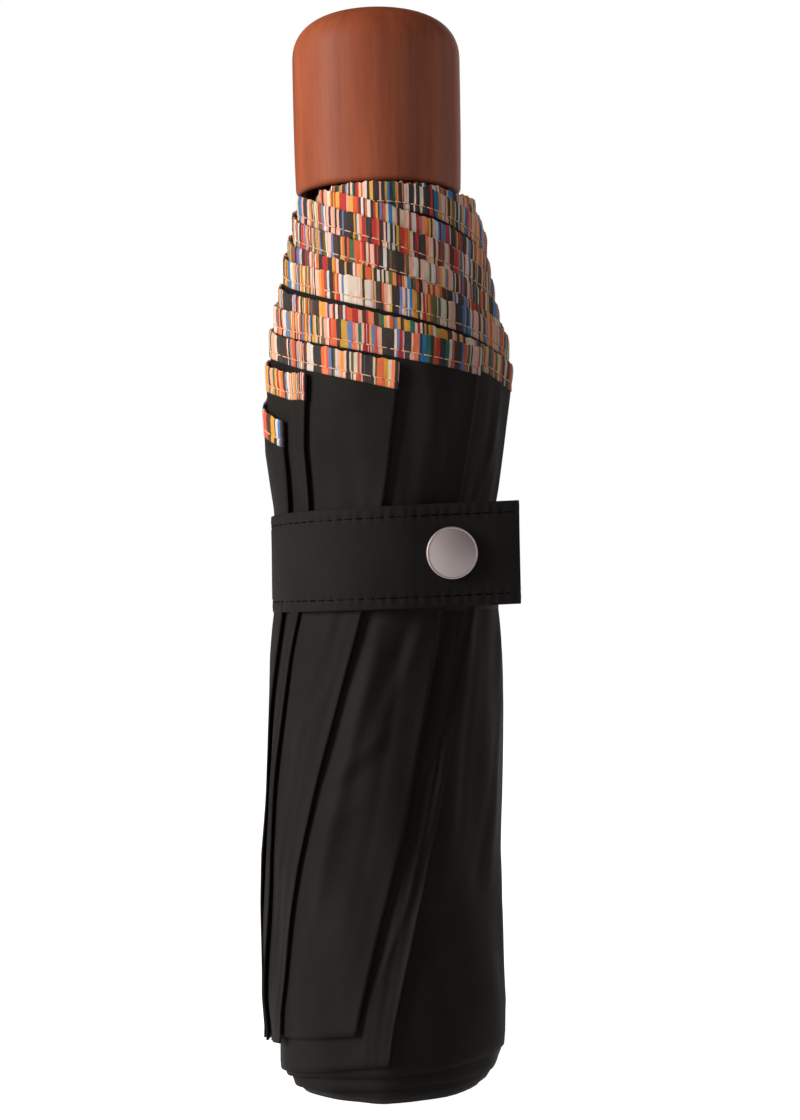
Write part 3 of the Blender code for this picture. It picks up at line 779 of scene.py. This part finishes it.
def build_camera():
    """Straight on at mid height, turned a little about its own axis."""
    roll = math.radians(1.1)
    camera = bpy.data.cameras.new("camera")
    camera.lens = 62.6
    camera.sensor_width = 36
    camera.clip_start = 0.01
    obj = bpy.data.objects.new("camera", camera)
    right = Vector((math.cos(roll), 0, -math.sin(roll)))
    up = Vector((math.sin(roll), 0, math.cos(roll)))
    back = Vector((0, -1, 0))
    place = Matrix((right, up, back)).transposed().to_4x4()
    place.translation = Vector((3.8, -510, 135.6)) * MM
    obj.matrix_world = place
    bpy.context.scene.collection.objects.link(obj)
    bpy.context.scene.camera = obj


def area_light(name, place, target, size, power, colour=(1, 1, 1)):
    light = bpy.data.lights.new(name, "AREA")
    light.shape = "RECTANGLE"
    light.size, light.size_y = size
    light.energy = power
    light.color = colour
    aim_light(name, light, place, target)


def aim_light(name, light, place, target):
    obj = bpy.data.objects.new(name, light)
    obj.location = place
    obj.rotation_mode = "QUATERNION"
    obj.rotation_quaternion = (Vector(place) - Vector(target)).to_track_quat("Z", "Y")
    bpy.context.scene.collection.objects.link(obj)


def build_studio():
    mesh = bpy.data.meshes.new("floor")
    work = bmesh.new()
    bmesh.ops.create_grid(work, x_segments=1, y_segments=1, size=6)
    work.to_mesh(mesh)
    work.free()
    floor = bpy.data.objects.new("floor", mesh)
    floor.location = (0, 0, -0.0002)
    bpy.context.scene.collection.objects.link(floor)
    n = Nodes("floor_white")
    n.put(n.shader, **{"Base Color": (0.5, 0.5, 0.5, 1), "Roughness": 0.9})
    n.shader.inputs["Specular IOR Level"].default_value = 0.0
    n.shader.inputs["Emission Color"].default_value = (1, 1, 1, 1)
    n.shader.inputs["Emission Strength"].default_value = 1.0
    mesh.materials.append(n.material)
    floor.visible_diffuse = False    # the bright floor does not light the dark cloth
    world = bpy.data.worlds.new("studio")
    world.use_nodes = True
    nodes = world.node_tree.nodes
    nodes["Background"].inputs[0].default_value = (1, 1, 1, 1)
    sight = nodes.new("ShaderNodeLightPath")
    level = nodes.new("ShaderNodeMapRange")
    level.inputs[3].default_value = 0.045
    level.inputs[4].default_value = 1.0
    world.node_tree.links.new(sight.outputs["Is Camera Ray"], level.inputs[0])
    world.node_tree.links.new(level.outputs[0], nodes["Background"].inputs[1])
    bpy.context.scene.world = world
    bpy.context.scene.view_settings.view_transform = "Standard"
    middle = (0, 0, 0.14)
    area_light("key", (-0.98, -0.46, 0.48), middle, (0.35, 0.8), 22.5, (1, 0.95, 0.90))
    area_light("fill", (-0.1, -1.1, 0.45), middle, (0.7, 0.9), 2.1)
    area_light("rim", (0.95, 0.25, 0.30), middle, (0.3, 0.8), 2.2)
    area_light("back", (0.4, 1.1, 0.5), middle, (0.6, 0.9), 2.5)
    # a small soft spot for the handle alone
    spot = bpy.data.lights.new("handle_spot", "SPOT")
    spot.energy = 7.0
    spot.spot_size = math.radians(10)
    spot.spot_blend = 0.8
    spot.shadow_soft_size = 0.08
    aim_light("handle_spot", spot, (0.62, -0.70, 0.45), (0, 0, 0.255))


build_camera()
build_studio()
build_canopy()
build_crown_cloth()
build_band()
build_tail()
build_snap()
build_handle()
finish_nodes()
